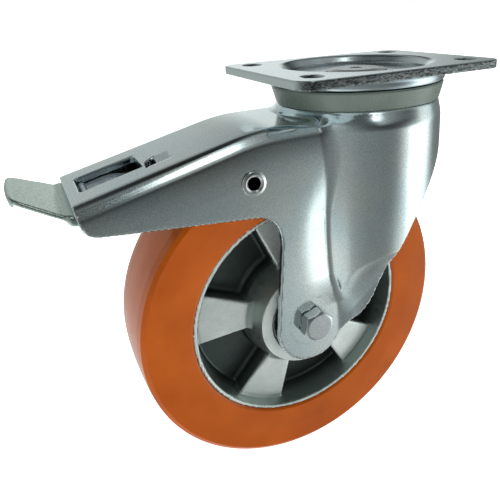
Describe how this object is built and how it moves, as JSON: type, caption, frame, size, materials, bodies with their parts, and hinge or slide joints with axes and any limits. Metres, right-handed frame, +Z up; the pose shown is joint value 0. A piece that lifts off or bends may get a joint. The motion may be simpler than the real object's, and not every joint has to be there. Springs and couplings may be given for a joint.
{
  "type": "swivel castor with total-lock pedal brake",
  "caption": "Swivel castor: slotted top plate, ball-raced pressed steel fork, orange polyurethane tyre on a cast centre, and a rear pedal that locks wheel and swivel.",
  "frame": {"origin": "on the swivel axis, in the top face of the mounting plate", "axes": "+Z up along the swivel axis, +X the leading direction (the wheel trails towards -X, the pedal is at the -X end), Y along the axle at rest"},
  "size_m": [0.2661, 0.11, 0.245],
  "materials": {
    "zinc_plated_sheet": "bright zinc plating, satin, slightly mottled",
    "bright_zinc": "bright zinc-plated fastener",
    "bearing_steel": "ground steel",
    "spring_steel": "blue-grey spring steel",
    "cast_aluminium": "matt die-cast",
    "orange_polyurethane": "glossy translucent elastomer",
    "grey_seal": "smooth satin plastic",
    "black_seal": "matt rubber"
  },
  "bodies": {
    "plate": {"top_plate": "zinc_plated_sheet", "kingpin": "bright_zinc", "kingpin_sleeve": "bearing_steel", "lower_race_cup": "zinc_plated_sheet", "swivel_lock_ring": "bearing_steel", "kingpin_nut": "bright_zinc", "swivel_seal": "grey_seal"},
    "swivel_balls": {"upper_ball_ring": "bearing_steel", "lower_ball_ring": "bearing_steel"},
    "fork": {"fork_housing": "zinc_plated_sheet", "near_hollow_rivet": "bright_zinc", "far_hollow_rivet": "bright_zinc", "axle_bolt": "bright_zinc", "axle_washer": "bright_zinc", "axle_nut": "bright_zinc", "axle_tube": "bearing_steel", "near_spacer_ring": "bearing_steel", "far_spacer_ring": "bearing_steel", "near_bearing_inner_ring": "bearing_steel", "far_bearing_inner_ring": "bearing_steel"},
    "brake": {"brake_lever": "zinc_plated_sheet", "brake_shoe": "bearing_steel", "shoe_screw": "bright_zinc", "leaf_spring": "spring_steel", "spring_rivet": "bright_zinc"},
    "wheel": {"tyre": "orange_polyurethane", "wheel_centre": "cast_aluminium", "near_bearing_outer_ring": "bearing_steel", "far_bearing_outer_ring": "bearing_steel", "near_bearing_seal": "black_seal", "far_bearing_seal": "black_seal"},
    "wheel_balls": {"near_bearing_balls": "bearing_steel", "far_bearing_balls": "bearing_steel"}
  },
  "joints": [
    {"name": "swivel", "type": "hinge", "parent": "plate", "child": "fork", "pos_m": [0, 0, 0], "axis": [0, 0, 1], "continuous": true},
    {"name": "swivel_ball_roll", "type": "hinge", "parent": "plate", "child": "swivel_balls", "pos_m": [0, 0, 0], "axis": [0, 0, 1], "continuous": true},
    {"name": "wheel_spin", "type": "hinge", "parent": "fork", "child": "wheel", "pos_m": [-0.0575, 0, -0.145], "axis": [0, 1, 0], "continuous": true},
    {"name": "wheel_ball_roll", "type": "hinge", "parent": "fork", "child": "wheel_balls", "pos_m": [-0.0575, 0, -0.145], "axis": [0, 1, 0], "continuous": true},
    {"name": "brake_pedal", "type": "hinge", "parent": "fork", "child": "brake", "pos_m": [-0.088, 0, -0.051], "axis": [0, -1, 0], "range_deg": [0, 7.5]}
  ],
  "couplings": [
    {"joint": "swivel_ball_roll", "follows": "swivel", "ratio": 0.5},
    {"joint": "wheel_ball_roll", "follows": "wheel_spin", "ratio": 0.5925}
  ]
}
